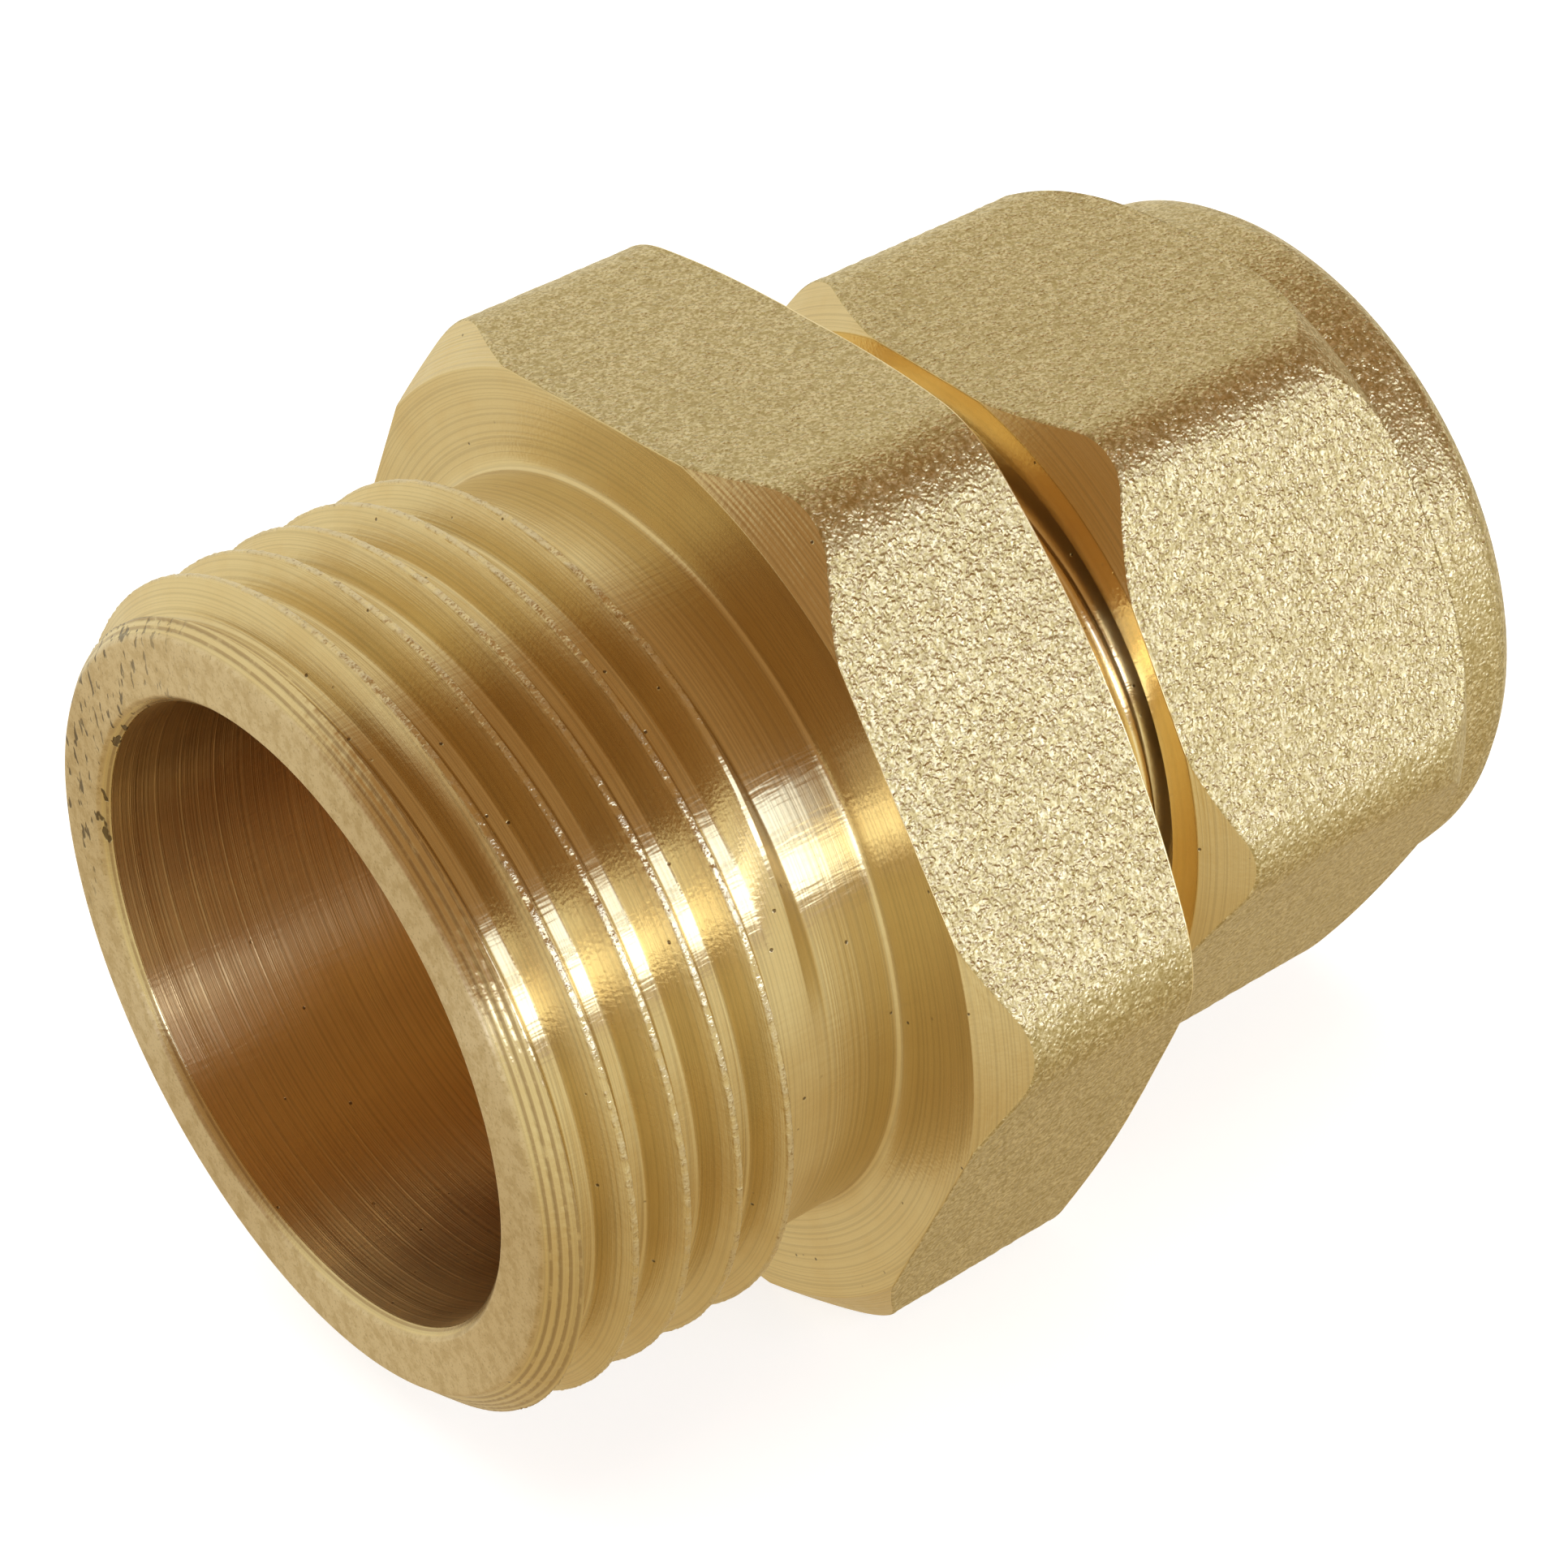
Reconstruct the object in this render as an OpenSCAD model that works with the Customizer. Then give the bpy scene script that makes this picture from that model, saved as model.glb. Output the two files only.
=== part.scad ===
// Brass compression fitting: straight male adaptor, G 3/4 thread to 15 mm tube.
// Pipe axis along X, male end face centred on the origin, tube leaves towards +X.
// Lies with hexagon flats facing up and down, +Z up. Millimetres.

/* [Male thread] */
// Outside diameter over the male thread crests
male_d = 26.35; // [25.9:0.05:26.45]
// Diameter at the bottom of the male thread grooves
male_root_d = 24.12; // [23.8:0.01:24.4]
// Thread pitch, 14 threads per inch, used by both threads
pitch = 1.814; // [1.7:0.001:1.9]
// Length from the male end face to the flange face
male_len = 12.75; // [11:0.05:16]
// Axial length of the chamfer on the male end
lead_len = 1.2; // [0.6:0.05:2]
// Outside diameter of the flat ring on the male end
face_d = 23.9; // [23:0.05:25]
// Where the male ridge would cross the pipe axis plane, measured along X
male_phase_x = -0.33; // [-1.8:0.01:0]
// Turns of the male ridge, counted from that point
male_turns = 5.5; // [3:0.1:6]

/* [Flange] */
// Distance across the flats of the body hexagon
body_af = 29.4; // [28:0.1:32]
// Width of the body hexagon
body_hex_w = 7.9; // [6:0.05:11]
// Radius of the rounded hexagon corners on the body
body_corner_r = 3; // [1:0.1:5]
// Diameter where the front corner chamfer starts
body_front_d = 30.5; // [29.6:0.05:32]
// Angle of the corner chamfer behind the hexagon, from the flange plane
body_back_angle = 21; // [10:1:45]
// Radius between the plain band and the flange face
relief_fillet = 0.4; // [0.1:0.05:1]

/* [Waterway] */
// Bore diameter at the male end
male_bore_d = 19.8; // [18:0.05:20.5]
// Depth of the full male-end bore
male_bore_len = 15.5; // [12:0.1:17]
// Chamfer round the mouth of the male-end bore
mouth_chamfer = 0.3; // [0.1:0.05:0.6]
// Diameter of the passage behind the tube stop
waterway_d = 12.6; // [11:0.1:14]
// Bore for the 15 mm copper tube
tube_bore_d = 15.12; // [15.05:0.01:15.3]
// Depth of the tube socket in the body
socket_len = 10.9; // [9:0.1:13]

/* [Compression end] */
// Outside diameter over the compression thread crests
comp_d = 20.9; // [20.5:0.05:21]
// Diameter at the bottom of the compression thread grooves
comp_root_d = 18.6; // [18.3:0.01:18.9]
// Length of the compression end beyond the flange
comp_len = 9.75; // [8:0.05:13]
// Diameter of the mouth cone that takes the olive
seat_d = 17.7; // [17:0.05:18.2]
// Distance from the flange to the start of the compression thread
comp_start = 2.45; // [1:0.05:3]

/* [Olive] */
// Outside diameter at the middle of the olive
olive_d = 17.9; // [17.4:0.05:18.4]
// Length of the olive
olive_len = 7; // [5:0.1:9]
// Length of the flat crown in the middle of the olive
olive_crown = 2.2; // [0.5:0.1:4]
// Outside diameter at the ends of the olive
olive_end_d = 15.9; // [15.6:0.05:16.4]

/* [Compression nut] */
// Distance across the flats of the nut hexagon
nut_af = 23.8; // [23:0.1:25]
// Angle the finger-tight nut has stopped at, past the body's flats
nut_angle = 4; // [0:1:59]
// Length of the nut hexagon
nut_hex_w = 10.8; // [9:0.1:13]
// Overall length of the nut
nut_len = 14.05; // [12:0.05:17]
// Radius of the rounded hexagon corners on the nut
nut_corner_r = 2.4; // [1:0.1:4]
// Diameter where the front corner chamfer of the nut starts
nut_front_d = 24.2; // [24:0.05:25.5]
// Diameter of the round collar at the tube end
collar_d = 23.2; // [22:0.1:24]
// Edge radius of the collar
collar_r = 1.3; // [0.3:0.1:2]
// Length over which the hexagon's corners are rounded off at the tube end
nut_round = 2.3; // [1:0.1:4]
// Gap between the flange and the nut when finger tight
nut_gap = 3.6; // [0.5:0.1:5]
// Turns of thread inside the nut
nut_turns = 3.5; // [2:0.1:4]
// Thickness of the nut wall behind the olive
nut_back_w = 2.6; // [2:0.1:4]

/* [Hidden] */
$fn = 96;
brass = [0.78, 0.63, 0.32];
olive_brass = [0.84, 0.66, 0.30];
hex_half = 30;
half_flank = 27.5;
crest_w = 0.26;
seg = 30;
bury = 0.3;
nut_bury = 0.15;
fade_turn = 0.2;
radial_gap = 0.12;
flank_gap = 0.09;
wall_gap = 0.1;
pocket_gap = 0.15;
clear = 0.5;
step = 0.1;
lead_over = 0.03;
cutter_reach = 4;
bore_cone_len = 2;
nut_entry = 0.9;
nut_mouth = 0.3;
olive_in_seat = 0.75;
collar_start = 3;
shoulder_len = 0.6;
shoulder_drop = 0.3;
corner_over = 0.05;
spare = 1;
arc_mid = 1 - cos(45);
back_slope = tan(body_back_angle);

male_r = male_d / 2;
male_root_r = male_root_d / 2;
comp_r = comp_d / 2;
comp_root_r = comp_root_d / 2;
tube_r = tube_bore_d / 2;
front_r = body_front_d / 2;
body_half = body_af / 2;
flange_x = male_len;
flange_back_x = flange_x + body_hex_w;
comp_end_x = flange_back_x + comp_len;
comp_chamfer = comp_r - comp_root_r;
comp_x0 = flange_back_x + comp_start;
comp_turns = (comp_end_x + pitch - comp_x0) / pitch;
nut_x = flange_back_x + nut_gap;
nut_back_x = nut_x + nut_len;
nut_cone_x = nut_back_x - nut_back_w;
nut_wall_r = comp_r + radial_gap + wall_gap;
nut_crest_r = comp_root_r + radial_gap;
nut_groove = ceil((nut_x + nut_entry - comp_x0) / pitch - 0.5);
nut_x0 = comp_x0 + (nut_groove + 0.5) * pitch;
nut_cavity_x = nut_x0 + nut_turns * pitch + nut_entry;
olive_x = comp_end_x - olive_in_seat;
olive_r = olive_d / 2;
olive_end_r = olive_end_d / 2;
olive_pocket_r = olive_r + pocket_gap;

// Width of a male ridge at radius r, for a ridge whose crest is at radius top
function ridge_w(r, top) = crest_w + 2 * (top - r) * tan(half_flank);

// Height fraction of a ridge at turn t of n, rising and falling at its ends
function fade(t, n) = max(0, min(1, min(t, n - t) / fade_turn));

// One right-handed helical ridge round X, centred on x0 at angle zero (+Y).
// It grows from radius r_base, width w_base, to radius r_top, width w_top.
// At both ends the free edge sinks to r_hide, inside the wall it grows from.
module helix_ridge(x0, turns, r_base, w_base, r_top, w_top, r_hide) {
    n = ceil(turns * seg);
    pts = [for (i = [0:n])
        let (a = 360 * i / seg,
             xc = x0 + pitch * i / seg,
             r = r_hide + (r_top - r_hide) * fade(i / seg, turns))
        for (p = [[-w_base / 2, r_base], [-w_top / 2, r],
                  [w_top / 2, r], [w_base / 2, r_base]])
            [xc + p[0], p[1] * cos(a), p[1] * sin(a)]];
    sides = [for (i = [0:n - 1], k = [0:3])
        let (a = 4 * i + k, b = 4 * i + (k + 1) % 4)
        for (t = [[a, b, b + 4], [a, b + 4, a + 4]]) t];
    caps = [[3, 2, 1], [3, 1, 0],
            [4 * n, 4 * n + 1, 4 * n + 2], [4 * n, 4 * n + 2, 4 * n + 3]];
    faces = concat(sides, caps);
    outward = r_top > r_base;
    polyhedron(pts, outward ? faces : [for (f = faces) [f[2], f[1], f[0]]]);
}

// Turns a profile of [x, radius] points round the X axis
module turned(profile) {
    rotate([0, 90, 0])
        rotate_extrude()
            polygon([for (p = profile) [p[1], p[0]]]);
}

// Hexagon with rounded corners, flats facing up and down, from x0 over length w
module hex_bar(x0, w, af, corner_r) {
    reach = (af / 2 - corner_r) / cos(hex_half);
    translate([x0, 0, 0])
        rotate([0, 90, 0])
            linear_extrude(w)
                union() {
                    polygon([for (k = [0:5], s = [-1, 1])
                        let (a = 60 * k + 30, f = a + s * hex_half)
                        [reach * cos(a) + corner_r * cos(f),
                         reach * sin(a) + corner_r * sin(f)]]);
                    for (k = [0:5])
                        translate([reach * cos(60 * k + 30), reach * sin(60 * k + 30)])
                            circle(corner_r);
                }
}

// Body hexagon with its corners turned off at 45 degrees in front and less behind
module body_hex() {
    back_r = body_half + spare / back_slope;
    intersection() {
        hex_bar(flange_x, body_hex_w, body_af, body_corner_r);
        turned([[flange_x - spare, 0], [flange_x - spare, front_r - spare],
                [flange_x + cutter_reach, front_r + cutter_reach],
                [flange_back_x - spare, back_r],
                [flange_back_x + spare, body_half - spare / back_slope],
                [flange_back_x + spare, 0]]);
    }
}

// Plain turned core of the body, longer than the body at both ends
module body_core() {
    turned([[-spare, 0], [-spare, male_root_r],
            [flange_x - relief_fillet, male_root_r],
            [flange_x - relief_fillet * arc_mid, male_root_r + relief_fillet * arc_mid],
            [flange_x + step, male_root_r + relief_fillet + step],
            [flange_x + step, comp_root_r], [comp_end_x + spare, comp_root_r],
            [comp_end_x + spare, 0]]);
}

// Everything the end chamfers and end faces of the body leave standing
module body_envelope() {
    turned([[0, 0], [0, face_d / 2], [lead_len, male_r + lead_over],
            [flange_x - 2 * spare, male_r + clear],
            [flange_x - 2 * spare + step, 2 * body_half],
            [flange_back_x + spare, 2 * body_half],
            [flange_back_x + spare + step, comp_r + clear],
            [comp_end_x - comp_chamfer - clear, comp_r + clear],
            [comp_end_x, comp_root_r - step], [comp_end_x, 0]]);
}

// Male bore, passage, tube socket and the cone that takes the olive
module body_bore() {
    turned([[-spare, 0], [-spare, male_bore_d / 2 + mouth_chamfer + spare],
            [mouth_chamfer, male_bore_d / 2], [male_bore_len, male_bore_d / 2],
            [male_bore_len + bore_cone_len, waterway_d / 2],
            [comp_end_x - socket_len, waterway_d / 2],
            [comp_end_x - socket_len, tube_r],
            [comp_end_x - (seat_d / 2 - tube_r), tube_r],
            [comp_end_x + spare, seat_d / 2 + spare], [comp_end_x + spare, 0]]);
}

module body() {
    color(brass)
        difference() {
            intersection() {
                union() {
                    body_core();
                    body_hex();
                    helix_ridge(male_phase_x, male_turns,
                                male_root_r - bury, ridge_w(male_root_r - bury, male_r),
                                male_r, crest_w, male_root_r - bury / 2);
                    helix_ridge(comp_x0, comp_turns,
                                comp_root_r - bury, ridge_w(comp_root_r - bury, comp_r),
                                comp_r, crest_w, comp_root_r - bury / 2);
                }
                body_envelope();
            }
            body_bore();
        }
}

module olive() {
    slope_len = (olive_len - olive_crown) / 2;
    color(olive_brass)
        turned([[olive_x, tube_r], [olive_x, olive_end_r],
                [olive_x + slope_len, olive_r],
                [olive_x + slope_len + olive_crown, olive_r],
                [olive_x + olive_len, olive_end_r], [olive_x + olive_len, tube_r]]);
}

// Outside of the nut: hexagon, soft shoulder and round collar
module nut_outside() {
    chamfer_r = nut_front_d / 2;
    collar_end_r = collar_d / 2;
    round_x = nut_x + nut_hex_w - nut_round;
    round_w = nut_round + shoulder_len;
    low_r = collar_end_r - shoulder_drop;
    top_r = (nut_af / 2 - nut_corner_r) / cos(hex_half) + nut_corner_r + corner_over;
    intersection() {
        rotate([nut_angle, 0, 0])
            hex_bar(nut_x, nut_hex_w + shoulder_len, nut_af, nut_corner_r);
        turned(concat([[nut_x - spare, 0], [nut_x - spare, chamfer_r - spare],
                       [nut_x - chamfer_r + top_r, top_r]],
                      [for (a = [0:15:90])
                          [round_x + round_w * sin(a), low_r + (top_r - low_r) * cos(a)]],
                      [[round_x + round_w, 0]]));
    }
    turned(concat([[nut_x + collar_start, 0],
                   [nut_x + collar_start, collar_end_r - spare],
                   [nut_x + collar_start + spare, collar_end_r]],
                  [for (a = [0:22.5:90])
                      [nut_back_x - collar_r * (1 - sin(a)),
                       collar_end_r - collar_r * (1 - cos(a))]],
                  [[nut_back_x, 0]]));
}

// Inside of the nut before its thread: mouth, thread wall, olive pocket and cone
module nut_inside() {
    turned([[nut_x - spare, 0], [nut_x - spare, nut_wall_r + nut_mouth + spare],
            [nut_x + nut_mouth, nut_wall_r], [nut_cavity_x, nut_wall_r],
            [nut_cone_x - spare, olive_pocket_r], [nut_cone_x, olive_pocket_r],
            [nut_cone_x + olive_pocket_r - tube_r, tube_r],
            [nut_back_x + spare, tube_r], [nut_back_x + spare, 0]]);
}

module compression_nut() {
    w_top = pitch - ridge_w(nut_crest_r, comp_r) - 2 * flank_gap;
    w_base = w_top + 2 * (nut_wall_r + nut_bury - nut_crest_r) * tan(half_flank);
    color(brass)
        union() {
            difference() {
                nut_outside();
                nut_inside();
            }
            helix_ridge(nut_x0, nut_turns, nut_wall_r + nut_bury, w_base,
                        nut_crest_r, w_top, nut_wall_r + nut_bury / 2);
        }
}

body();
olive();
compression_nut();
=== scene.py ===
import math

import bpy
import numpy as np
from mathutils import Matrix, Vector


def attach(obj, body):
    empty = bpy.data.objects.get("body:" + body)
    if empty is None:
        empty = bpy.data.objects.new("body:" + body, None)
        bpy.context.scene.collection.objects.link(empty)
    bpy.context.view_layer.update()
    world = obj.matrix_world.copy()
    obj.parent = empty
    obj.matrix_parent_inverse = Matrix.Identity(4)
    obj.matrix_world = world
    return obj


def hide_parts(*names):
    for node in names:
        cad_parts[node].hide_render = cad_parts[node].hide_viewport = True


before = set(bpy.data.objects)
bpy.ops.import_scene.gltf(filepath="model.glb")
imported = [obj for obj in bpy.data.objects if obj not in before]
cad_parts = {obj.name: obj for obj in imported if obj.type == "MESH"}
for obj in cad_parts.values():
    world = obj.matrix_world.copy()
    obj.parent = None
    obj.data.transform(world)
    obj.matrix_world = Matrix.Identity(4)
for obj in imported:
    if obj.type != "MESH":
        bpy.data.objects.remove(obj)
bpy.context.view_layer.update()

# Sizes in millimetres, as in the CAD part.
# X runs along the pipe, and theta turns from +Y towards +Z.
MM = 0.001
PITCH = 1.814
MALE_R, MALE_ROOT_R, MALE_LEN = 13.175, 12.06, 12.75
LEAD_LEN, FACE_R = 1.2, 11.95
MALE_PHASE_X, MALE_TURNS = -0.33, 5.5
BODY_HALF, BODY_HEX_W, BODY_CORNER_R = 14.7, 7.9, 3.0
BODY_FRONT_R, BODY_BACK_ANGLE = 15.25, 21
BORE_R, BORE_LEN, MOUTH, BORE_CONE_LEN = 9.9, 15.5, 0.3, 2
WATER_R, TUBE_R, SOCKET_LEN = 6.3, 7.56, 10.9
COMP_R, COMP_ROOT_R, COMP_LEN = 10.45, 9.3, 9.75
COMP_START, SEAT_R = 2.45, 8.85
OLIVE_R, OLIVE_LEN, OLIVE_CROWN, OLIVE_END_R = 8.95, 7.0, 2.2, 7.95
NUT_HALF, NUT_HEX_W, NUT_LEN = 11.9, 10.8, 14.05
NUT_CORNER_R, NUT_FRONT_R, NUT_ANGLE = 2.4, 12.1, 4
COLLAR_R, COLLAR_EDGE, NUT_ROUND = 11.6, 1.3, 2.3
NUT_GAP, NUT_TURNS, NUT_BACK_W = 3.6, 3.5, 2.6
NUT_MOUTH, NUT_ENTRY = 0.3, 0.9
RADIAL_GAP, WALL_GAP, FLANK_GAP, POCKET_GAP = 0.12, 0.1, 0.09, 0.15
OLIVE_IN_SEAT = 0.75
FILLET = 0.4
CREST_W = 0.26
FLANK_SLOPE = math.tan(math.radians(27.5))
# Pitch and depth of the tool grooves on the lead chamfer
LEAD_GROOVE, LEAD_GROOVE_DEPTH = 0.19, 0.045
# Least height of a corner chamfer, so that its band never closes up on the flats
RIM = 0.04
# The forged back of the flange isn't flat. Beyond 50 degrees from the angle LOW_SIDE
# it stands further back, by up to UNEVEN, which it reaches 35 degrees later.
UNEVEN, LOW_SIDE, LOW_REACH, LOW_BLEND = 0.5, 145, 50, 35
GRAIN_DEPTH = 0.014

FLANGE_X = MALE_LEN
FLANGE_BACK_X = FLANGE_X + BODY_HEX_W
COMP_END_X = FLANGE_BACK_X + COMP_LEN
COMP_X0 = FLANGE_BACK_X + COMP_START
NUT_X = FLANGE_BACK_X + NUT_GAP
NUT_BACK_X = NUT_X + NUT_LEN
NUT_WALL_R = COMP_R + RADIAL_GAP + WALL_GAP
NUT_CREST_R = COMP_ROOT_R + RADIAL_GAP
NUT_X0 = COMP_X0 + 1.5 * PITCH
NUT_CAVITY_X = NUT_X0 + NUT_TURNS * PITCH + NUT_ENTRY
NUT_CONE_X = NUT_BACK_X - NUT_BACK_W
POCKET_R = OLIVE_R + POCKET_GAP
OLIVE_X = COMP_END_X - OLIVE_IN_SEAT
NUT_TOP_R = (NUT_HALF - NUT_CORNER_R) / math.cos(math.radians(30)) + NUT_CORNER_R + 0.05
SHOULDER_LEN, SHOULDER_DROP = 0.6, 0.3
SHOULDER_X = NUT_X + NUT_HEX_W + SHOULDER_LEN
SHOULDER_W, SHOULDER_R = NUT_ROUND + SHOULDER_LEN, COLLAR_R - SHOULDER_DROP

# Points round a ring; a ring that isn't fine has every second one
N = 1280
THETA = np.arange(N) * 2 * np.pi / N
# Material slots of the body and the nut
TURNED, BLASTED, BORE, CUT = range(4)
rng = np.random.default_rng(7)


# ---------------------------------------------------------------- surface fields

def soft_max(a, b, k):
    """The larger of a and b, blended over a width of k."""
    h = np.clip(0.5 + 0.5 * (a - b) / k, 0, 1)
    return b + (a - b) * h + k * h * (1 - h)


def hex_radius(half, corner_r, turn_deg=0.0):
    """Radius of a hexagon with rounded corners, flats up and down, at each THETA."""
    centre = (half - corner_r) / math.cos(math.radians(30))
    off = (np.degrees(THETA) - 90 - turn_deg + 30) % 60 - 30
    side = np.radians(30 - np.abs(off))
    flat = half / np.cos(np.radians(off))
    reach = np.sqrt(np.maximum(corner_r**2 - (centre * np.sin(side))**2, 0))
    corner = centre * np.cos(side) + reach
    on_flat = half * np.tan(np.radians(np.abs(off))) <= centre / 2
    return np.where(on_flat, flat, corner)


def ridge(x, x0, turns, crest_w, run, crest_k, root_k):
    """Height from 0 to 1 of a right-handed thread ridge at x and THETA.

    run is a flank's axial width.
    """
    u = THETA / (2 * np.pi)
    k = np.round((x - x0) / PITCH - u)
    d = np.abs(x - x0 - PITCH * (k + u))
    t = k + u
    h = 1 - (d - crest_w / 2) / run
    h = -soft_max(-h, -1.0 + 0 * h, crest_k)
    h = soft_max(h, 0 * h, root_k)
    ends = np.clip(np.minimum(t + 0.02, turns - t) / 0.16, 0, 1)
    return h * ends * ends * (3 - 2 * ends)


def random_field(shape, spacing, wave, spread):
    """A periodic random field, mean 0 and deviation 1, of bumps about one wave across."""
    f0 = np.fft.fftfreq(shape[0], spacing[0])[:, None]
    f1 = np.fft.fftfreq(shape[1], spacing[1])[None, :]
    f = np.hypot(f0, f1)
    band = np.exp(-((f - 1 / wave) / (spread / wave))**2)
    field = np.fft.ifft2(np.fft.fft2(rng.standard_normal(shape)) * band).real
    return field / field.std()


# How wide a grain is, in cells squared
GRAIN_SPREAD = 0.17


def pebbles(shape, spacing, cell):
    """A field of soft round grains about one cell across, mean 0 and deviation 1.

    It is periodic round the axis.
    """
    rows = int(shape[0] * spacing[0] / cell) + 3
    columns = int(round(shape[1] * spacing[1] / cell))
    seeds = rng.random((rows, columns, 2))
    a = np.arange(shape[0])[:, None] * spacing[0] / cell + 1
    b = np.arange(shape[1])[None, :] / shape[1] * columns
    ia, ib = np.floor(a).astype(int), np.floor(b).astype(int)
    sizes = 0.4 + 0.6 * rng.random((rows, columns))
    height = np.zeros(shape)
    for da in (-1, 0, 1):
        for db in (-1, 0, 1):
            i, j = ia + da, (ib + db) % columns
            at = seeds[i, j]
            gap = (i + at[..., 0] - a)**2 + (ib + db + at[..., 1] - b)**2
            height += sizes[i, j] * np.exp(-gap / GRAIN_SPREAD)
    return (height - height.mean()) / height.std()


# ---------------------------------------------------------------- skins of rings

class Corner:
    """A corner of a closed profile, and the band that follows it.

    cut is how much of the corner is rounded off. The band has steps rings, which shape
    may move, and fine keeps every point round the ring.
    """

    def __init__(self, x, r, zone=TURNED, cut=0.05, steps=3, fine=False, shape=None):
        self.p = np.stack([np.broadcast_to(x, (N,)), np.broadcast_to(r, (N,))], 1).astype(float)
        self.zone, self.cut, self.steps = zone, cut, steps
        self.fine, self.shape = fine, shape


def towards(a, b, distance):
    """The point that far from a on the way to b, but never past the middle."""
    d = b - a
    length = np.maximum(np.linalg.norm(d, axis=1, keepdims=True), 1e-9)
    return a + d / length * np.minimum(distance, 0.45 * length)


# Places along a rounded corner that get a ring
ARC_STEPS = (0, 0.3, 0.7)


def profile_rings(corners):
    """The rings of (x, r) of a closed profile with its corners softened.

    Each comes with its zone and whether it is fine.
    """
    rings = []
    count = len(corners)
    for i, c in enumerate(corners):
        before, after = corners[i - 1], corners[(i + 1) % count]
        start = c.p
        if c.cut:
            a, start = towards(c.p, before.p, c.cut), towards(c.p, after.p, c.cut)
            for t in ARC_STEPS:
                p = (1 - t)**2 * a + 2 * t * (1 - t) * c.p + t * t * start
                rings.append((p, c.zone, c.fine))
        end = towards(after.p, c.p, after.cut) if after.cut else after.p
        band = [start + (end - start) * s / c.steps for s in range(c.steps)]
        if c.shape:
            band = c.shape(np.array(band))
        rings += [(p, c.zone, c.fine) for p in band]
    return rings


def skin(name, corners, materials):
    """A closed mesh of a profile's rings turned round the pipe axis.

    Each ring is joined to the next, and the last to the first.
    """
    rings = profile_rings(corners)
    points, faces, zones, starts, at = [], [], [], [], 0
    for p, _, fine in rings:
        step = 1 if fine else 2
        x, r, th = p[::step, 0], p[::step, 1], THETA[::step]
        points.append(np.stack([x, r * np.cos(th), r * np.sin(th)], 1) * MM)
        starts.append((at, len(x)))
        at += len(x)
    for i, (_, zone, _) in enumerate(rings):
        (a, na), (b, nb) = starts[i], starts[(i + 1) % len(rings)]
        j = np.arange(min(na, nb))
        k = (j + 1) % min(na, nb)
        if na == nb:
            new = np.stack([a + j, a + k, b + k, b + j], 1)
        elif na < nb:
            m, n = 2 * j + 1, (2 * j + 2) % nb
            new = np.concatenate([np.stack(t + [t[2]], 1) for t in (
                [a + j, a + k, b + m], [a + k, b + n, b + m],
                [a + j, b + m, b + 2 * j])])
        else:
            m, n = 2 * j + 1, (2 * j + 2) % na
            new = np.concatenate([np.stack(t + [t[2]], 1) for t in (
                [a + 2 * j, a + m, b + j], [a + m, b + k, b + j],
                [a + m, a + n, b + k])])
        faces.append(new)
        zones.append(np.full(len(new), zone))
    points, faces, zones = map(np.concatenate, (points, faces, zones))
    sides = np.where(faces[:, 3] == faces[:, 2], 3, 4)
    loops = faces[np.arange(4)[None, :] < sides[:, None]]
    mesh = bpy.data.meshes.new(name)
    mesh.vertices.add(len(points))
    mesh.vertices.foreach_set("co", points.astype(np.float32).ravel())
    mesh.loops.add(len(loops))
    mesh.loops.foreach_set("vertex_index", loops.astype(np.int32))
    mesh.polygons.add(len(faces))
    first = np.concatenate([[0], np.cumsum(sides)[:-1]])
    mesh.polygons.foreach_set("loop_start", first.astype(np.int32))
    mesh.polygons.foreach_set("material_index", zones.astype(np.int32))
    mesh.polygons.foreach_set("use_smooth", np.ones(len(faces), bool))
    for m in materials:
        mesh.materials.append(m)
    mesh.update(calc_edges=True)
    mesh.validate()
    obj = bpy.data.objects.new(name, mesh)
    bpy.context.scene.collection.objects.link(obj)
    return obj


# ---------------------------------------------------------------- shapes of the bands

def blasted(depth=GRAIN_DEPTH, cell=0.38, margin=0.12):
    """A band shape that grains the surface inwards all over, fading at the band's edges."""
    def shape(band):
        x, r = band[:, :, 0], band[:, :, 1]
        length = np.linalg.norm(band[-1] - band[0], axis=1)
        spacing = (length.mean() / len(band), 2 * np.pi * r.mean() / N)
        grain = pebbles(x.shape, spacing, cell)
        soft = random_field(x.shape, spacing, 1.1, 0.8)
        along = np.arange(len(band))[:, None] / len(band) * length[None, :]
        fade = np.clip(np.minimum(along, length - along) / margin, 0, 1)
        r -= fade * depth * np.clip(1.0 - 0.42 * grain + 0.2 * soft, 0, None)
        return band
    return shape


# How uneven the crests of the male thread are
RAGGED = 0.009


def male_thread(band):
    """The male thread, its lead chamfer and the plain relief band behind it."""
    x = band[:, :, 0]
    depth = MALE_R - MALE_ROOT_R
    spacing = (x[1, 0] - x[0, 0], 2 * np.pi * MALE_R / N)
    h = ridge(x, MALE_PHASE_X, MALE_TURNS, 0.16, depth * FLANK_SLOPE, 0.03, 0.13)
    ragged = np.clip(RAGGED * random_field(x.shape, spacing, 0.35, 0.7), -0.02, 0.02)
    r = MALE_ROOT_R + h * (depth - 0.025) + np.clip(h * 5 - 4, 0, 1) * ragged
    groove = 0.5 - 0.5 * np.cos(2 * np.pi * (x - 0.1) / LEAD_GROOVE)
    groove *= 0.6 + 0.25 * ragged / RAGGED
    lead = FACE_R + x * (MALE_R + 0.03 - FACE_R) / LEAD_LEN
    lead -= LEAD_GROOVE_DEPTH * groove * np.clip((x - 0.15) * 8, 0, 1)
    band[:, :, 1] = -soft_max(-r, -lead, 0.04)
    return band


# More turns than there is room for: the thread runs out over the end of the body
COMP_TURNS = 20


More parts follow.
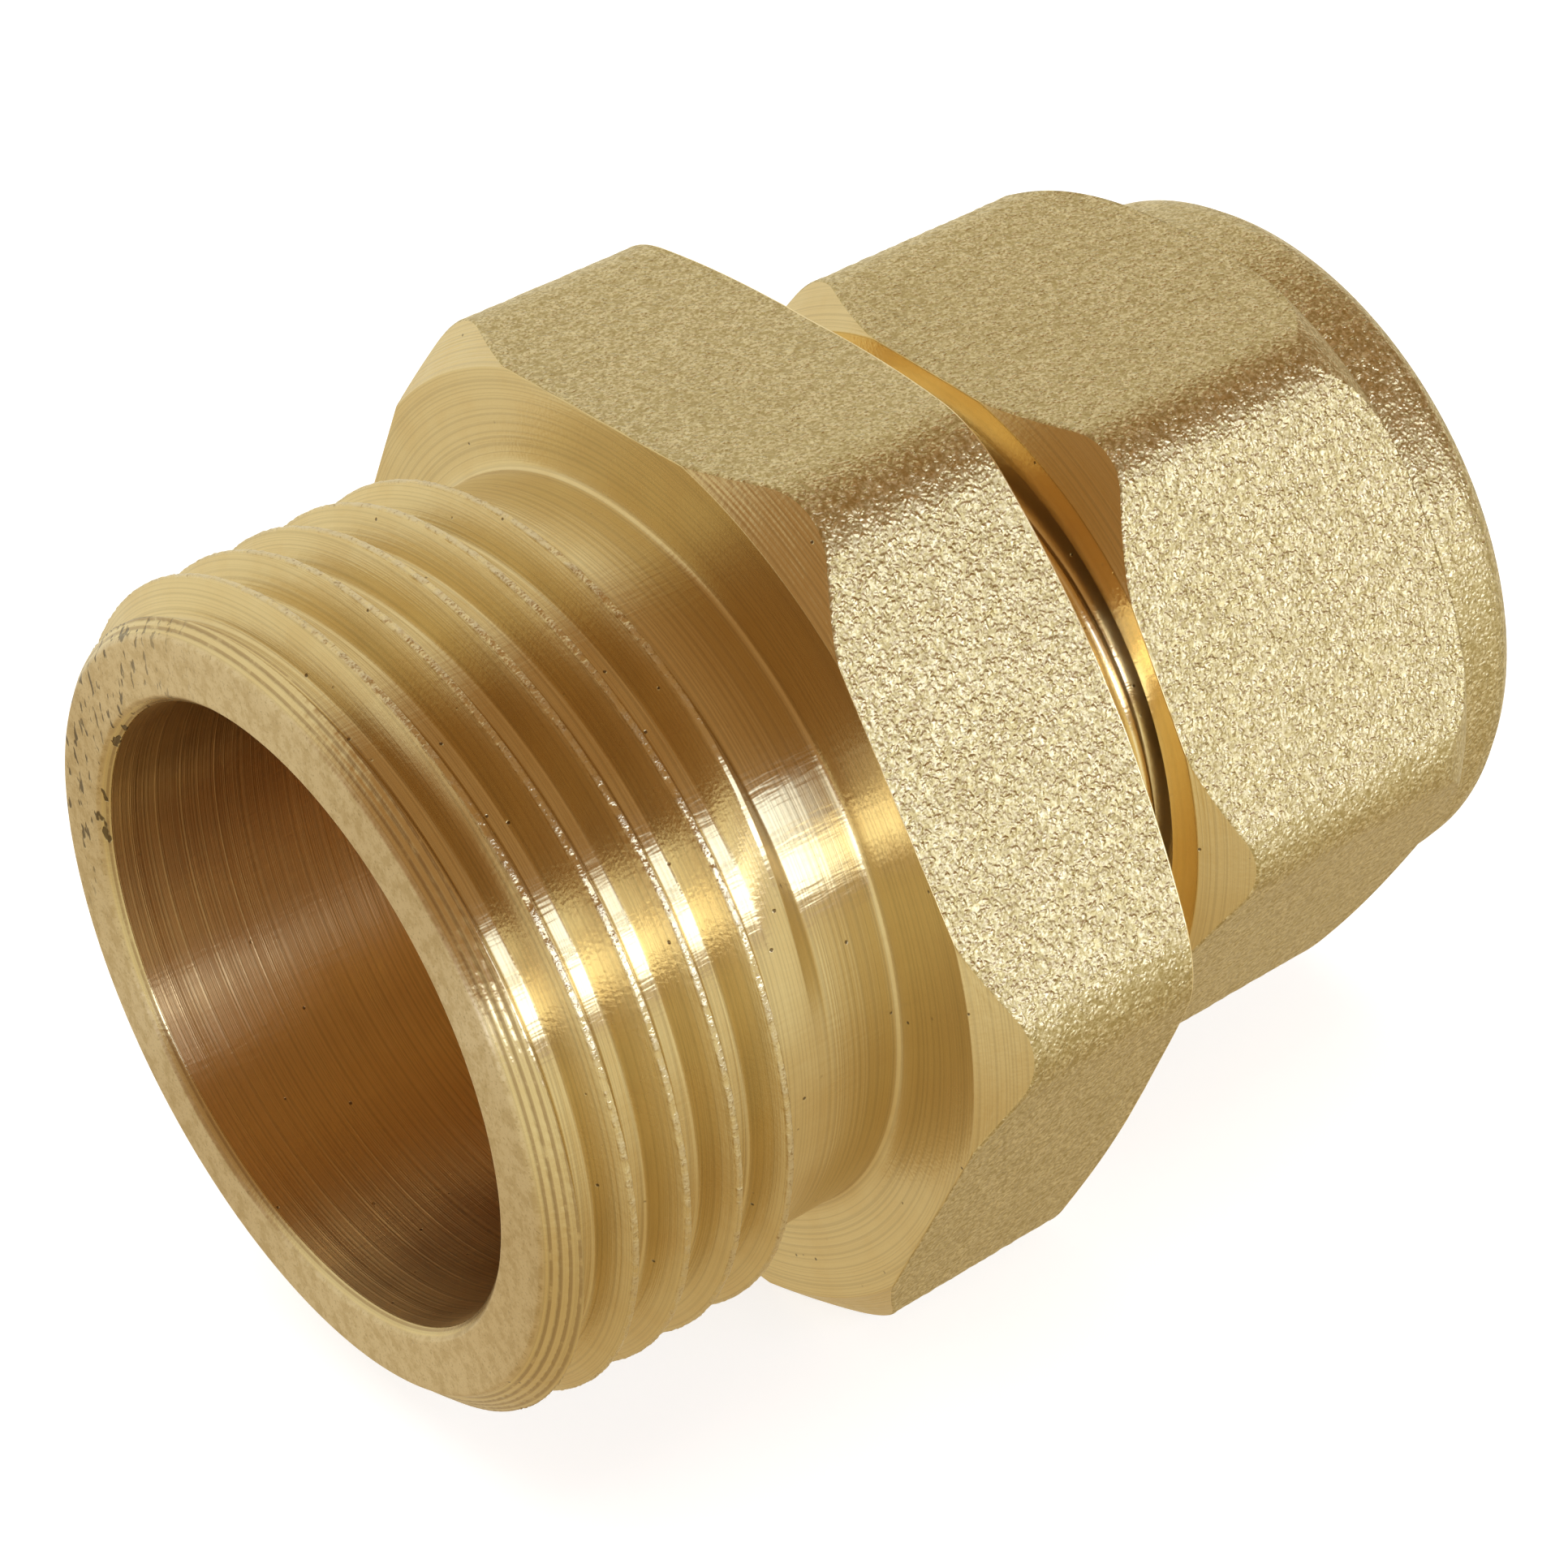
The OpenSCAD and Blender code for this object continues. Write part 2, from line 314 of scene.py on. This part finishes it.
def compression_thread(band):
    """The thread under the nut."""
    x = band[:, :, 0]
    depth = COMP_R - COMP_ROOT_R
    h = ridge(x, COMP_X0, COMP_TURNS, 0.3, depth * FLANK_SLOPE, 0.12, 0.3)
    r = COMP_ROOT_R + h * depth
    end = COMP_ROOT_R - 0.1 + (COMP_END_X - x)
    band[:, :, 1] = -soft_max(-r, -end, 0.05)
    return band


def nut_thread(band):
    """The thread inside the nut, which the band reaches from the tube end."""
    x = band[:, :, 0]
    depth = NUT_WALL_R - NUT_CREST_R
    ridge_w = CREST_W + 2 * (COMP_R - NUT_CREST_R) * FLANK_SLOPE
    crest = PITCH - ridge_w - 2 * FLANK_GAP
    h = ridge(x, NUT_X0, NUT_TURNS, crest, depth * FLANK_SLOPE, 0.12, 0.2)
    mouth = NUT_WALL_R + NUT_MOUTH - (x - NUT_X)
    band[:, :, 1] = soft_max(NUT_WALL_R - h * depth, mouth, 0.05)
    return band


def grooved(depth, pitch):
    """A band shape with the fine grooves of a turning tool, cut inwards from the band."""
    def shape(band):
        along = band[-1] - band[0]
        length = np.maximum(np.linalg.norm(along, axis=1, keepdims=True), 1e-6)
        inward = np.stack([-along[:, 1], along[:, 0]], 1) / length
        inward *= -np.sign(inward[:, 1:])
        s = band[:, :, 0] + band[:, :, 1]
        uneven = 0.7 + 0.3 * random_field(s.shape, (0.05, 0.08), 1.5, 0.8).clip(-1, 1)
        wave = (0.5 - 0.5 * np.cos(2 * np.pi * s / pitch)) * uneven
        ends = np.sin(np.linspace(0, np.pi, len(band)))[:, None]**0.5
        return band + (wave * ends * depth)[:, :, None] * inward[None, :, :]
    return shape


def nut_shoulder_x(r):
    """Where along X the rounded back of the nut's hexagon has the radius r."""
    fall = np.clip((r - SHOULDER_R) / (NUT_TOP_R - SHOULDER_R), 0, 1)
    return SHOULDER_X - SHOULDER_W + SHOULDER_W * np.sqrt(1 - fall**2)


def nut_shoulder(band):
    """The rounded back of the nut's hexagon, from its flats and corners to the collar."""
    top = band[0, :, 1]
    t = np.linspace(0, 1, len(band) + 1)[:-1, None]
    start = np.arccos(np.clip((top - SHOULDER_R) / (NUT_TOP_R - SHOULDER_R), -1, 1))
    a = start + (np.pi / 2 - start) * t
    band[:, :, 0] = SHOULDER_X - SHOULDER_W + SHOULDER_W * np.sin(a)
    band[:, :, 1] = SHOULDER_R + (NUT_TOP_R - SHOULDER_R) * np.cos(a)
    return band


# ---------------------------------------------------------------- node materials

def shade(tone, *factors):
    """A colour with its red, green and blue each multiplied, by one factor or by three."""
    if len(factors) == 1:
        factors *= 3
    return tuple(c * k for c, k in zip(tone, factors))


class Nodes:
    """Short calls for building the nodes of a material or a world."""

    def __init__(self, owner):
        self.owner = owner
        owner.use_nodes = True
        self.tree = owner.node_tree
        self.tree.nodes.clear()

    def add(self, kind, inputs=None, **settings):
        node = self.tree.nodes.new(kind)
        for k, v in settings.items():
            setattr(node, k, v)
        for k, v in (inputs or {}).items():
            socket = node.inputs[k]
            if isinstance(v, bpy.types.NodeSocket):
                self.tree.links.new(v, socket)
            else:
                socket.default_value = v
        return node

    def math(self, operation, a, b=0.0, c=0.0, clamp=False):
        node = self.add("ShaderNodeMath", {0: a, 1: b, 2: c}, operation=operation, use_clamp=clamp)
        return node.outputs[0]

    def mix(self, factor, a, b):
        node = self.add("ShaderNodeMix", {"Factor": factor}, data_type="RGBA")
        for socket, v in ((node.inputs[6], a), (node.inputs[7], b)):
            if isinstance(v, bpy.types.NodeSocket):
                self.tree.links.new(v, socket)
            else:
                socket.default_value = (*v, 1)
        return node.outputs[2]

    def ramp(self, value, low, high):
        inputs = {"Value": value, "From Min": low, "From Max": high}
        return self.add("ShaderNodeMapRange", inputs, interpolation_type="SMOOTHSTEP").outputs[0]

    def noise(self, vector, scale, detail=2.0, roughness=0.5):
        inputs = {"Vector": vector, "Scale": scale, "Detail": detail, "Roughness": roughness}
        return self.add("ShaderNodeTexNoise", inputs).outputs[0]

    def lines(self, w, scale, detail=2.0, roughness=0.6):
        inputs = {"W": w, "Scale": scale, "Detail": detail, "Roughness": roughness}
        return self.add("ShaderNodeTexNoise", inputs, noise_dimensions="1D").outputs[0]

    def scaled(self, vector, factors):
        node = self.add("ShaderNodeVectorMath", {0: vector, 1: factors}, operation="MULTIPLY")
        return node.outputs[0]

    def bump(self, height):
        node = self.add("ShaderNodeBump", {"Strength": 1.0, "Distance": MM, "Height": height})
        return node.outputs[0]

    def place(self):
        """The place on the piece in millimetres, as a vector."""
        return self.scaled(self.add("ShaderNodeTexCoord").outputs["Object"], (1000, 1000, 1000))

    def split(self, mm):
        """The x, y and z of a place and its distance r from the pipe axis."""
        x, y, z = self.add("ShaderNodeSeparateXYZ", {0: mm}).outputs
        squares = self.math("ADD", self.math("MULTIPLY", y, y), self.math("MULTIPLY", z, z))
        return x, y, z, self.math("SQRT", squares)

    def round_tangent(self, y, z):
        """The direction round the pipe axis, in world space."""
        minus_z = self.math("MULTIPLY", z, -1.0)
        t = self.add("ShaderNodeCombineXYZ", {0: 0.0, 1: minus_z, 2: y}).outputs[0]
        return self.add("ShaderNodeVectorTransform", {0: t}, vector_type="VECTOR",
                        convert_from="OBJECT", convert_to="WORLD").outputs[0]

    def output(self, **inputs):
        shader = self.add("ShaderNodeBsdfPrincipled", {"Metallic": 1.0, **inputs})
        self.add("ShaderNodeOutputMaterial", {"Surface": shader.outputs[0]})
        return self.owner


def male_end(n, mm, place, colour, rough, height):
    """What the male end adds to turned brass: pale worn crests, a satin face ring,
    dark tool grooves on the lead chamfer and a few nicks at its upper far side."""
    x, y, z, r = place
    speck = n.noise(mm, 9.0, 2.0, 0.7)
    blotch = n.noise(mm, 1.6, 3.0, 0.75)

    crest = n.math("MULTIPLY", n.ramp(r, 13.06, 13.14), n.ramp(x, 1.0, 1.15))
    crest = n.math("MULTIPLY", crest, n.ramp(blotch, 0.36, 0.62))
    crest = n.math("MULTIPLY", crest, n.ramp(x, FLANGE_X - 0.2, FLANGE_X - 0.4))
    pale = n.mix(n.ramp(speck, 0.54, 0.68), (0.74, 0.64, 0.44), (0.38, 0.26, 0.13))
    colour = n.mix(n.math("MULTIPLY", crest, 0.8), colour, pale)
    rough = n.math("ADD", rough, n.math("MULTIPLY", crest, 0.16))
    grain = n.math("MULTIPLY", n.math("MULTIPLY", crest, speck), 0.03)
    height = n.math("ADD", height, grain)

    face = n.ramp(x, 0.14, 0.05)
    satin = n.mix(n.ramp(blotch, 0.42, 0.62), (0.68, 0.55, 0.35), (0.56, 0.43, 0.24))
    dark = n.math("MULTIPLY", n.ramp(speck, 0.55, 0.7), 0.6)
    satin = n.mix(dark, satin, (0.34, 0.25, 0.13))
    colour = n.mix(n.math("MULTIPLY", face, 0.9), colour, satin)
    rough = n.math("ADD", rough, n.math("MULTIPLY", face, 0.12))

    lead = n.math("MULTIPLY", n.ramp(x, 0.1, 0.2), n.ramp(x, 1.2, 0.9))
    stripe = n.math("SINE", n.math("MULTIPLY", x, 2 * math.pi / LEAD_GROOVE))
    stripe = n.math("MULTIPLY", n.ramp(stripe, 0.1, 0.9), lead)
    stripe = n.math("MULTIPLY", stripe, n.ramp(blotch, 0.2, 0.5))
    colour = n.mix(n.math("MULTIPLY", stripe, 0.55), colour, (0.24, 0.14, 0.06))

    drawn = n.noise(n.scaled(mm, (3.0, 3.2, 1.1)), 1.0, 2.0, 0.6)
    nick = n.math("MULTIPLY", n.ramp(drawn, 0.58, 0.64), n.ramp(y, 1.0, 7.0))
    region = n.math("MULTIPLY", n.ramp(x, 1.0, 0.6), n.ramp(z, -3.0, 2.0))
    nick = n.math("MULTIPLY", nick, region)
    colour = n.mix(n.math("MULTIPLY", nick, 0.85), colour, (0.09, 0.06, 0.03))
    return colour, rough, n.math("SUBTRACT", height, n.math("MULTIPLY", nick, 0.02))


def turned_brass(name, tone, roughness, line_depth, streaks=0.3, male=False):
    """Brass off the lathe: fine lines round the axis, faint chatter, stains and dark pits."""
    n = Nodes(bpy.data.materials.new(name))
    mm = n.place()
    x, y, z, r = n.split(mm)
    # Changes along every turned surface, the flat faces included
    s = n.math("ADD", x, n.math("MULTIPLY", r, 0.62))
    patch = n.noise(mm, 0.45, 3.0, 0.6)
    fine = n.lines(s, 9.0, 2.0, 0.7)
    coarse = n.lines(s, 1.9, 1.0, 0.5)
    chatter = n.noise(n.scaled(mm, (1.1, 8.0, 8.0)), 1.0, 1.0)
    pit_cells = n.add("ShaderNodeTexVoronoi", {"Vector": mm, "Scale": 1.3, "Randomness": 1.0})
    pit = n.ramp(pit_cells.outputs["Distance"], 0.09, 0.045)
    # Pits come in clusters
    pit = n.math("MULTIPLY", pit, n.ramp(n.noise(mm, 0.6, 1.0), 0.47, 0.58))
    colour = n.mix(n.ramp(patch, 0.35, 0.75), tone, shade(tone, 0.97, 0.93, 0.86))
    streak = n.math("MULTIPLY", n.ramp(fine, 0.46, 0.62), streaks)
    colour = n.mix(streak, colour, shade(tone, 0.55))
    colour = n.mix(n.math("MULTIPLY", pit, 0.8), colour, (0.08, 0.05, 0.03))
    line = n.math("ADD", fine, n.math("MULTIPLY", coarse, 1.6))
    height = n.math("MULTIPLY", line, line_depth)
    height = n.math("ADD", height, n.math("MULTIPLY", chatter, 0.0055))
    height = n.math("SUBTRACT", height, n.math("MULTIPLY", pit, 0.012))
    patchy = n.math("MULTIPLY", n.math("SUBTRACT", patch, 0.5), 0.14)
    rough = n.math("ADD", roughness, patchy, clamp=True)
    if male:
        colour, rough, height = male_end(n, mm, (x, y, z, r), colour, rough, height)
    return n.output(**{"Base Color": colour, "Roughness": rough, "Normal": n.bump(height),
                       "Anisotropic": 0.9, "Anisotropic Rotation": 0.25,
                       "Tangent": n.round_tangent(y, z)})


def blasted_brass(name, tone, roughness):
    """Forged and shot-blasted brass: round grains in the plain tone, with painted shade darkening
    the creases between them, plus random dark specks and mottling.
    """
    n = Nodes(bpy.data.materials.new(name))
    mm = n.place()
    warp = n.add("ShaderNodeTexNoise", {"Vector": mm, "Scale": 3.0, "Detail": 1.0})
    small = n.scaled(warp.outputs["Color"], (0.25, 0.25, 0.25))
    bent = n.add("ShaderNodeVectorMath", {0: mm, 1: small}, operation="ADD").outputs[0]
    cells = n.add("ShaderNodeTexVoronoi", {"Vector": bent, "Scale": 5.8, "Randomness": 1.0})
    grit = n.add("ShaderNodeTexVoronoi", {"Vector": mm, "Scale": 8.5, "Randomness": 1.0})
    speck = n.noise(mm, 9.0, 2.0, 0.6)
    cloud = n.noise(mm, 0.35, 3.0, 0.6)
    dome = n.ramp(cells.outputs["Distance"], 0.62, 0.0)
    # Painted shade: the colour darkens towards the creases between the grains, and random dark
    # specks and mottling are added to that
    crease_shade = n.ramp(cells.outputs["Distance"], 0.35, 0.8)
    mottle = n.ramp(n.noise(mm, 2.6, 3.0, 0.7), 0.42, 0.66)
    dark = n.math("MULTIPLY", n.ramp(speck, 0.53, 0.42), 0.7)
    crease_shade_and_mottle = n.math("ADD", n.math("MULTIPLY", crease_shade, 0.6), dark)
    crease_shade_and_mottle = n.math("ADD", crease_shade_and_mottle, n.math("MULTIPLY", mottle, 0.3), clamp=True)
    colour = n.mix(n.ramp(cloud, 0.3, 0.7), tone, shade(tone, 0.93, 0.93, 0.9))
    # The darker colour of the painted crease shade, the specks and the mottling
    colour = n.mix(crease_shade_and_mottle, colour, shade(tone, 0.58, 0.53, 0.38))
    height = n.math("MULTIPLY", dome, 0.025)
    grit_dome = n.ramp(grit.outputs["Distance"], 0.6, 0.0)
    height = n.math("ADD", height, n.math("MULTIPLY", grit_dome, 0.010))
    height = n.math("ADD", height, n.math("MULTIPLY", speck, 0.012))
    grain = n.add("ShaderNodeSeparateColor", {0: cells.outputs["Color"]}).outputs[0]
    uneven = n.math("MULTIPLY", n.math("SUBTRACT", grain, 0.5), 0.2)
    rough = n.math("ADD", roughness, uneven, clamp=True)
    return n.output(**{"Base Color": colour, "Roughness": rough, "Normal": n.bump(height)})


BRASS = (0.70, 0.57, 0.315)
turned = turned_brass("brass_turned", BRASS, 0.25, 0.006, male=True)
bored = turned_brass("brass_bored", (0.76, 0.54, 0.27), 0.32, 0.013, streaks=0.4)
blast = blasted_brass("brass_blasted", (0.75, 0.645, 0.40), 0.39)
ring_brass = turned_brass("brass_olive", (0.74, 0.56, 0.26), 0.3, 0.001)
cut = turned_brass("brass_fresh_cut", (0.90, 0.76, 0.46), 0.2, 0.001, streaks=0.1)
METALS = [turned, blast, bored, cut]


# ---------------------------------------------------------------- the three pieces

# Where the lead chamfer starts, behind the rounded edge of the male face
LEAD_X = 0.11


def make_body():
    """The body: male thread, hexagon, compression end and the bores through it."""
    outer = hex_radius(BODY_HALF, BODY_CORNER_R)
    front_r = np.minimum(BODY_FRONT_R, outer - RIM)
    front_x = FLANGE_X + (outer - front_r)
    back_r = np.minimum(BODY_HALF, outer - RIM)
    away = np.abs(np.degrees(THETA) - LOW_SIDE)
    beyond = np.clip((away - LOW_REACH) / LOW_BLEND, 0, 1)
    flange_back_x = FLANGE_BACK_X + UNEVEN * beyond * beyond * (3 - 2 * beyond)
    back_slope = math.tan(math.radians(BODY_BACK_ANGLE))
    back_x = flange_back_x - (outer - back_r) * back_slope
    stop_x = COMP_END_X - SOCKET_LEN
    corners = [
        Corner(0, BORE_R + MOUTH, cut=0.05, steps=8),
        Corner(0, FACE_R, cut=0.07, steps=1),
        Corner(LEAD_X, FACE_R + LEAD_X, cut=0, steps=390, shape=male_thread),
        Corner(FLANGE_X - FILLET, MALE_ROOT_R, cut=0, steps=1),
        Corner(FLANGE_X, MALE_ROOT_R, cut=FILLET, steps=8),
        Corner(FLANGE_X, front_r, fine=True, cut=0.03, steps=64,
               shape=grooved(0.016, 0.22)),
        Corner(front_x, outer, BLASTED, fine=True, cut=0.07, steps=130,
               shape=blasted()),
        Corner(back_x, outer, CUT, fine=True, cut=0.05, steps=4),
        Corner(flange_back_x, back_r, CUT, fine=True, cut=0.03, steps=6),
        Corner(FLANGE_BACK_X, COMP_ROOT_R, CUT, cut=0.2, steps=1),
        Corner(FLANGE_BACK_X + 0.3, COMP_ROOT_R, CUT, cut=0, steps=170,
               shape=compression_thread),
        Corner(COMP_END_X, COMP_ROOT_R - 0.1, cut=0.05, steps=2),
        Corner(COMP_END_X, SEAT_R, cut=0.04, steps=6),
        Corner(COMP_END_X - (SEAT_R - TUBE_R), TUBE_R, BORE, steps=24),
        Corner(stop_x, TUBE_R, BORE, steps=3),
        Corner(stop_x, WATER_R, BORE, steps=6),
        Corner(BORE_LEN + BORE_CONE_LEN, WATER_R, BORE, steps=6),
        Corner(BORE_LEN, BORE_R, BORE, cut=0.2, steps=60),
        Corner(MOUTH, BORE_R, cut=0.04, steps=2),
    ]
    return skin("union_body", corners, METALS)


def make_olive():
    """The sealing ring: two cones and a flat crown round a plain bore."""
    slope = (OLIVE_LEN - OLIVE_CROWN) / 2
    corners = [
        Corner(OLIVE_X, TUBE_R, cut=0.06, steps=1),
        Corner(OLIVE_X, OLIVE_END_R, cut=0.08, steps=12),
        Corner(OLIVE_X + slope, OLIVE_R, cut=0.3, steps=8),
        Corner(OLIVE_X + slope + OLIVE_CROWN, OLIVE_R, cut=0.3, steps=12),
        Corner(OLIVE_X + OLIVE_LEN, OLIVE_END_R, cut=0.08, steps=1),
        Corner(OLIVE_X + OLIVE_LEN, TUBE_R, cut=0.06, steps=20),
    ]
    return skin("union_olive", corners, [ring_brass])


def make_nut():
    """The compression nut: forged hexagon and collar outside, thread, pocket and cone inside."""
    outer = hex_radius(NUT_HALF, NUT_CORNER_R, NUT_ANGLE)
    front_r = np.minimum(NUT_FRONT_R, outer - RIM)
    front_x = NUT_X + (outer - front_r)
    corners = [
        Corner(NUT_X, NUT_WALL_R + NUT_MOUTH, CUT, cut=0.05, steps=2),
        Corner(NUT_X, front_r, fine=True, cut=0.03, steps=20,
               shape=grooved(0.006, 0.2)),
        Corner(front_x, outer, BLASTED, fine=True, cut=0.07, steps=150,
               shape=blasted()),
        Corner(nut_shoulder_x(outer), outer, BLASTED, fine=True, cut=0.0, steps=36,
               shape=nut_shoulder),
        Corner(SHOULDER_X, SHOULDER_R, BLASTED, fine=True, cut=0.0, steps=4),
        Corner(SHOULDER_X + SHOULDER_DROP, COLLAR_R, BLASTED, fine=True, cut=0.25,
               steps=22, shape=blasted()),
        Corner(NUT_BACK_X, COLLAR_R, BLASTED, fine=True, cut=COLLAR_EDGE, steps=1),
        Corner(NUT_BACK_X, COLLAR_R - COLLAR_EDGE - 0.2, cut=0.05, steps=6),
        Corner(NUT_BACK_X, TUBE_R, BORE, cut=0.12, steps=3),
        Corner(NUT_CONE_X + POCKET_R - TUBE_R, TUBE_R, BORE, steps=4),
        Corner(NUT_CONE_X, POCKET_R, BORE, steps=2),
        Corner(NUT_CONE_X - 1, POCKET_R, BORE, cut=0.2, steps=4),
        Corner(NUT_CAVITY_X, NUT_WALL_R, BORE, cut=0, steps=160, shape=nut_thread),
    ]
    return skin("union_nut", corners, METALS)


PIECES = (
    (make_body, "body", "body", "brass_body"),
    (make_olive, "olive", "olive", "brass_olive"),
    (make_nut, "nut", "compression_nut", "brass_nut"),
)
for make, body, node, slot in PIECES:
    piece = make()
    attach(piece, body)
    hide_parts(node)


# ---------------------------------------------------------------- floor, light and camera

def white(name, strength, albedo):
    """A plain white that glows a little, so that only the contact shadow shows on it."""
    n = Nodes(bpy.data.materials.new(name))
    glow = n.add("ShaderNodeEmission", {"Color": (1, 1, 1, 1), "Strength": strength})
    matt = n.add("ShaderNodeBsdfDiffuse", {"Color": (albedo, albedo, albedo, 1)})
    both = n.add("ShaderNodeAddShader", {0: glow.outputs[0], 1: matt.outputs[0]})
    n.add("ShaderNodeOutputMaterial", {"Surface": both.outputs[0]})
    return n.owner


def stage_only(obj, material):
    """A backdrop that the camera sees and the metal doesn't mirror."""
    obj.data.materials.append(material)
    obj.visible_glossy = obj.visible_diffuse = False


MIDDLE_X = 0.02
FLOOR_CLEARANCE = 0.00002
floor_z = -BODY_HALF * MM - FLOOR_CLEARANCE
bpy.ops.mesh.primitive_plane_add(size=3.0, location=(MIDDLE_X, 0, floor_z))
floor = bpy.context.object
floor.name = "floor"
stage_only(floor, white("floor_white", 0.72, 0.5))
bpy.ops.mesh.primitive_uv_sphere_add(radius=1.9, segments=48, ring_count=24,
                                     location=(MIDDLE_X, 0, 0))
dome = bpy.context.object
dome.name = "backdrop"
dome.visible_shadow = False
stage_only(dome, white("backdrop_white", 1.0, 0.0))

# The key lights stand on a plane this far from CENTRE, on the near side
CENTRE = Vector((0.017, 0, 0))
KEY_DISTANCE = 0.4


def panel(name, low, high, radiance, colour):
    """An upright soft light that faces the object, between two corners (x, z) in its plane."""
    width, height = high[0] - low[0], high[1] - low[1]
    lamp = bpy.data.lights.new(name, "AREA")
    lamp.shape, lamp.size, lamp.size_y = "RECTANGLE", width, height
    lamp.energy = radiance * math.pi * width * height
    lamp.color = colour
    obj = bpy.data.objects.new(name, lamp)
    middle_x, middle_z = (low[0] + high[0]) / 2, (low[1] + high[1]) / 2
    obj.location = CENTRE + Vector((middle_x, -KEY_DISTANCE, middle_z))
    obj.rotation_euler = (math.radians(90), 0, 0)
    bpy.context.scene.collection.objects.link(obj)


panel("key_low", (-0.48, 0.048), (0.45, 0.147), 4.7, (0.66, 0.79, 1.0))
panel("key_high", (-0.15, 0.169), (0.45, 0.285), 3.0, (0.54, 0.70, 1.0))
fill = bpy.data.objects.new("floor_fill", bpy.data.lights.new("floor_fill", "AREA"))
fill.data.size, fill.data.energy = 0.8, 4.0
fill.location = (MIDDLE_X, 0.05, 0.7)
fill.visible_glossy = False
bpy.context.scene.collection.objects.link(fill)

# The world is what the brass mirrors. Above the horizon it is dark on the near side and pale on
# the far side, and below the horizon it is pale, and browner straight down.
world = bpy.data.worlds.new("studio")
bpy.context.scene.world = world
sky = Nodes(world)
toward = sky.add("ShaderNodeTexCoord").outputs["Generated"]
_, wy, wz = sky.add("ShaderNodeSeparateXYZ", {0: toward}).outputs
upper = sky.mix(sky.ramp(wy, 0.06, 0.52), (0.44, 0.27, 0.13), (0.98, 0.93, 0.78))
lower = sky.mix(sky.ramp(wz, -0.15, -0.95), (1.0, 0.94, 0.74), (0.66, 0.52, 0.30))
light = sky.mix(sky.ramp(wz, 0.06, -0.04), upper, lower)
background = sky.add("ShaderNodeBackground", {"Color": light, "Strength": 1.0})
sky.add("ShaderNodeOutputWorld", {"Surface": background.outputs[0]})

scene = bpy.context.scene
scene.view_settings.view_transform = "Standard"
scene.view_settings.look = "None"

# The camera stands in front of the male end, above it and on the near side, slightly rolled.
CAMERA_AT = Vector((-48.6, -92.94, 74.95)) * MM
CAMERA_AIM = Vector((0.48734, 0.67802, -0.55026))
CAMERA_RIGHT = Vector((0.77690, -0.62435, -0.08125))
CAMERA_UP = Vector((0.39865, 0.38790, 0.83103))
cam = bpy.data.cameras.new("camera")
cam.lens = 102.3
cam.sensor_width = 36
cam.clip_start, cam.clip_end = 0.01, 10
cam_obj = bpy.data.objects.new("camera", cam)
rows = zip(CAMERA_RIGHT, CAMERA_UP, -CAMERA_AIM, CAMERA_AT)
cam_obj.matrix_world = Matrix((*rows, (0, 0, 0, 1)))
scene.collection.objects.link(cam_obj)
scene.camera = cam_obj
